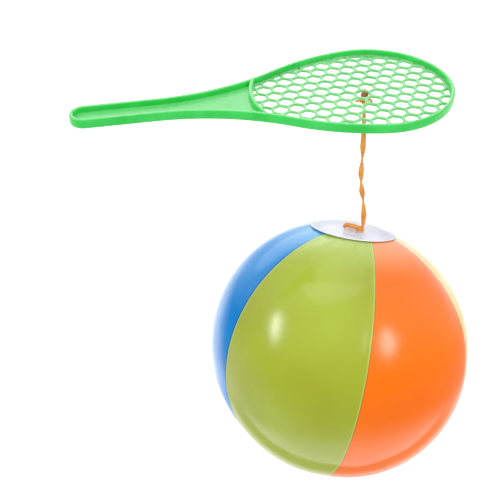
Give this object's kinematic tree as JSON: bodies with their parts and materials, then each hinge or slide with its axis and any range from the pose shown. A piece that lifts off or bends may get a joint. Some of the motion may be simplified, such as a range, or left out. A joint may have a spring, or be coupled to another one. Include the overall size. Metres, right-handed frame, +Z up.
{
  "type": "inflatable beach paddle set",
  "caption": "Moulded paddle with a honeycomb face in an egg-shaped rim, a rubber band tied to it, and a glossy inflatable gored ball hanging from the band.",
  "frame": {"origin": "middle of the hand grip, on the handle's centre line at the middle of its web", "axes": "+X along the paddle towards the head, +Z up, +Y to the far side; the ball hangs along -Z"},
  "size_m": [0.2449, 0.175, 0.2814],
  "materials": {
    "paddle_green": "moulded, semi-gloss",
    "lattice_green": "moulded, semi-gloss",
    "rubber": "matt rubber band",
    "clear_pvc": "clear soft PVC",
    "cap_pvc": "translucent white PVC",
    "lime_pvc": "glossy PVC film",
    "orange_pvc": "glossy PVC film",
    "yellow_pvc": "glossy PVC film",
    "red_pvc": "glossy PVC film",
    "white_pvc": "glossy PVC film",
    "blue_pvc": "glossy PVC film",
    "valve_pvc": "soft moulded PVC"
  },
  "bodies": {
    "paddle": {"paddle_frame": "paddle_green", "honeycomb_face": "lattice_green"},
    "loop": {"upper_loop": "rubber"},
    "knot": {"upper_knot": "rubber"},
    "cord": {"elastic_cord": "rubber"},
    "ball_knot": {"lower_knot": "rubber"},
    "ball": {"strap_loop": "rubber", "cord_strap": "clear_pvc", "top_cap": "cap_pvc", "bottom_cap": "cap_pvc", "gore_lime": "lime_pvc", "gore_orange": "orange_pvc", "gore_yellow": "yellow_pvc", "gore_red": "red_pvc", "gore_white": "white_pvc", "gore_blue": "blue_pvc", "valve_flange": "valve_pvc"},
    "valve": {"valve_stem": "valve_pvc", "plug_tether": "valve_pvc"},
    "plug": {"valve_plug": "valve_pvc"}
  },
  "joints": [
    {"name": "loop_swing", "type": "hinge", "parent": "paddle", "child": "loop", "pos_m": [0.1207, -0.00078, -0.00016], "axis": [-0.866, 0.5, 0], "range_deg": [-30, 30]},
    {"name": "knot_swing", "type": "hinge", "parent": "loop", "child": "knot", "pos_m": [0.1207, -0.00078, -0.00598], "axis": [0.5, 0.866, 0], "range_deg": [-25, 25]},
    {"name": "cord_twist", "type": "hinge", "parent": "knot", "child": "cord", "pos_m": [0.1207, -0.00078, -0.00598], "axis": [0, 0, 1], "range_deg": [-180, 180]},
    {"name": "cord_stretch", "type": "slide", "parent": "cord", "child": "ball_knot", "axis": [0, 0, -1], "range_m": [0, 0.12], "stiffness_N_per_m": 14, "springref_m": -0.01976, "deforming": ["elastic_cord"]},
    {"name": "ball_tip", "type": "hinge", "parent": "ball_knot", "child": "ball", "pos_m": [0.1207, -0.00078, -0.09058], "axis": [0, 1, 0], "range_deg": [-20, 20]},
    {"name": "valve_out", "type": "slide", "parent": "ball", "child": "valve", "axis": [0.9573, -0.1894, -0.2183], "range_m": [0, 0.012]},
    {"name": "plug_pull", "type": "slide", "parent": "valve", "child": "plug", "axis": [0.9573, -0.1894, -0.2183], "range_m": [0, 0.01], "deforming": ["plug_tether"]}
  ]
}
